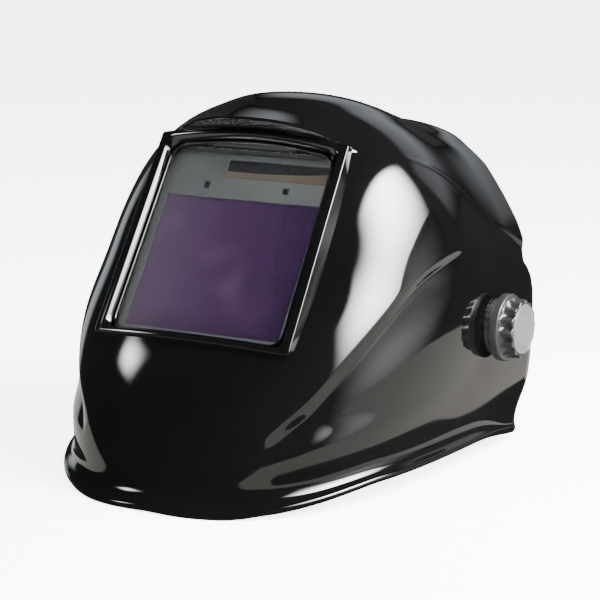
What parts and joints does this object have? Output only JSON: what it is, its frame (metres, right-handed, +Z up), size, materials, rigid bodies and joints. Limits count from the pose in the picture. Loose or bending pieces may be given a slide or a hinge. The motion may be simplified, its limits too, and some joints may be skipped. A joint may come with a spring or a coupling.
{
  "type": "welding helmet",
  "caption": "Moulded welding helmet with a self-darkening filter in a proud bezel, tension knobs and an adjustable ratchet headgear.",
  "frame": {"origin": "on the bench under the middle of the helmet's box, midway between the two tension knobs", "axes": "+Z up from the bench, -Y the way the window faces, +X the wearer's left along the knobs' axis"},
  "size_m": [0.2622, 0.329, 0.2104],
  "materials": {
    "shell_plastic": "high gloss moulded black",
    "clear_lens": "clear polycarbonate",
    "filter_glass": "dark violet interference filter",
    "housing_plastic": "fine moulded texture",
    "black_plastic": "satin moulded black",
    "grey_plastic": "satin moulded grey",
    "seal_rubber": "matt",
    "solar_glass": "dark amorphous cell",
    "sensor_glass": "dark infrared window",
    "circuit": "solder mask",
    "cell_steel": "brushed",
    "brass": "turned",
    "bolt_steel": "zinc plated",
    "washer_nylon": "natural nylon",
    "band_plastic": "flexible moulded black",
    "pad_cloth": "woven terry sweatband",
    "pad_foam": "soft knit over foam",
    "marker_red": "moulded red"
  },
  "bodies": {
    "shell_body": {"helmet_shell": "shell_plastic", "front_cover_lens": "clear_lens", "lens_seal": "seal_rubber", "filter_housing_front": "housing_plastic", "filter_housing_rear": "housing_plastic", "lcd_filter": "filter_glass", "solar_cell": "solar_glass", "arc_sensors": "sensor_glass", "circuit_board": "circuit", "batteries": "cell_steel", "inner_cover_lens": "clear_lens", "retaining_frame": "black_plastic", "outer_washer_left": "black_plastic", "outer_washer_right": "black_plastic", "friction_washer_left": "washer_nylon", "friction_washer_right": "washer_nylon"},
    "pivot_arms": {"side_arm_left": "black_plastic", "side_arm_right": "black_plastic", "pivot_bolt_left": "bolt_steel", "pivot_bolt_right": "bolt_steel", "arm_spacer": "washer_nylon"},
    "stop_lever": {"tilt_stop": "grey_plastic"},
    "headgear": {"headband": "band_plastic", "slide_block_left": "grey_plastic", "slide_block_right": "grey_plastic", "band_rivets": "black_plastic", "brow_pad": "pad_cloth", "crown_strap_front": "band_plastic", "crown_strap_rear": "band_plastic", "crown_pegs": "black_plastic", "ratchet_base": "black_plastic", "ratchet_cover": "black_plastic", "rear_pad": "pad_foam"},
    "rack_left": {"rack_strap_left": "band_plastic"},
    "rack_right": {"rack_strap_right": "band_plastic"},
    "ratchet_wheel": {"ratchet_knob": "black_plastic", "ratchet_pinion": "washer_nylon"},
    "knob_left": {"tension_knob_left": "black_plastic", "knob_nut_left": "brass", "knob_cap_left": "grey_plastic"},
    "knob_right": {"tension_knob_right": "black_plastic", "knob_nut_right": "brass", "knob_cap_right": "grey_plastic"},
    "shade_control": {"shade_dial": "black_plastic"},
    "sensitivity_control": {"sensitivity_dial": "black_plastic"},
    "delay_control": {"delay_dial": "black_plastic"},
    "grind_control": {"grind_switch": "black_plastic"},
    "test_control": {"test_button": "marker_red"},
    "battery_door_left": {"battery_cap_left": "black_plastic"},
    "battery_door_right": {"battery_cap_right": "black_plastic"},
    "latch_left": {"frame_latch_left": "grey_plastic"},
    "latch_right": {"frame_latch_right": "grey_plastic"}
  },
  "joints": [
    {"name": "headgear_tilt", "type": "hinge", "parent": "shell_body", "child": "pivot_arms", "pos_m": [0, 0.0349, 0.077], "axis": [1, 0, 0], "range_deg": [-12, 55]},
    {"name": "eye_relief", "type": "slide", "parent": "pivot_arms", "child": "headgear", "axis": [0, 0.9781, -0.2079], "range_m": [-0.006, 0.01]},
    {"name": "tilt_stop_turn", "type": "hinge", "parent": "pivot_arms", "child": "stop_lever", "pos_m": [0, 0.0349, 0.077], "axis": [1, 0, 0], "range_deg": [-25, 25]},
    {"name": "ratchet_turn", "type": "hinge", "parent": "headgear", "child": "ratchet_wheel", "pos_m": [0, 0.14626, 0.03159], "axis": [0, 0.8988, -0.4384], "range_deg": [-80, 80]},
    {"name": "tension_knob_left_turn", "type": "hinge", "parent": "pivot_arms", "child": "knob_left", "pos_m": [0, 0.0349, 0.077], "axis": [1, 0, 0], "range_deg": [0, 360]},
    {"name": "tension_knob_right_turn", "type": "hinge", "parent": "pivot_arms", "child": "knob_right", "pos_m": [0, 0.0349, 0.077], "axis": [-1, 0, 0], "range_deg": [0, 360]},
    {"name": "shade_turn", "type": "hinge", "parent": "shell_body", "child": "shade_control", "pos_m": [0, -0.09798, 0.05862], "axis": [0, -0.831, 0.5563], "range_deg": [-135, 135]},
    {"name": "sensitivity_turn", "type": "hinge", "parent": "shell_body", "child": "sensitivity_control", "pos_m": [-0.02, -0.09798, 0.05862], "axis": [0, -0.831, 0.5563], "range_deg": [-135, 135]},
    {"name": "delay_turn", "type": "hinge", "parent": "shell_body", "child": "delay_control", "pos_m": [0.02, -0.09798, 0.05862], "axis": [0, -0.831, 0.5563], "range_deg": [-135, 135]},
    {"name": "grind_slide", "type": "slide", "parent": "shell_body", "child": "grind_control", "axis": [1, 0, 0], "range_m": [-0.0025, 0.0025]},
    {"name": "test_press", "type": "slide", "parent": "shell_body", "child": "test_control", "axis": [0, -0.831, 0.5563], "range_m": [0, 0.0012], "stiffness_N_per_m": 300, "springref_m": -0.0004},
    {"name": "battery_cap_left_turn", "type": "hinge", "parent": "shell_body", "child": "battery_door_left", "pos_m": [0.044, -0.09798, 0.05862], "axis": [0, -0.831, 0.5563], "range_deg": [0, 60]},
    {"name": "battery_cap_right_turn", "type": "hinge", "parent": "shell_body", "child": "battery_door_right", "pos_m": [-0.044, -0.09798, 0.05862], "axis": [0, -0.831, 0.5563], "range_deg": [0, 60]},
    {"name": "frame_latch_left_turn", "type": "hinge", "parent": "shell_body", "child": "latch_left", "pos_m": [0.066, -0.06762, 0.12374], "axis": [0, -0.831, 0.5563], "range_deg": [-90, 0]},
    {"name": "frame_latch_right_turn", "type": "hinge", "parent": "shell_body", "child": "latch_right", "pos_m": [-0.066, -0.06762, 0.12374], "axis": [0, -0.831, 0.5563], "range_deg": [0, 90]},
    {"name": "rack_left_slide", "type": "hinge", "parent": "headgear", "child": "rack_left", "pos_m": [0, 0.06986, 0.06885], "axis": [0, 0.4384, 0.8988], "range_deg": [-9, 9]},
    {"name": "rack_right_slide", "type": "hinge", "parent": "headgear", "child": "rack_right", "pos_m": [0, 0.06986, 0.06885], "axis": [0, 0.4384, 0.8988], "range_deg": [-9, 9]}
  ],
  "couplings": [
    {"joint": "rack_left_slide", "follows": "ratchet_turn", "ratio": -0.07812},
    {"joint": "rack_right_slide", "follows": "ratchet_turn", "ratio": 0.08032}
  ]
}
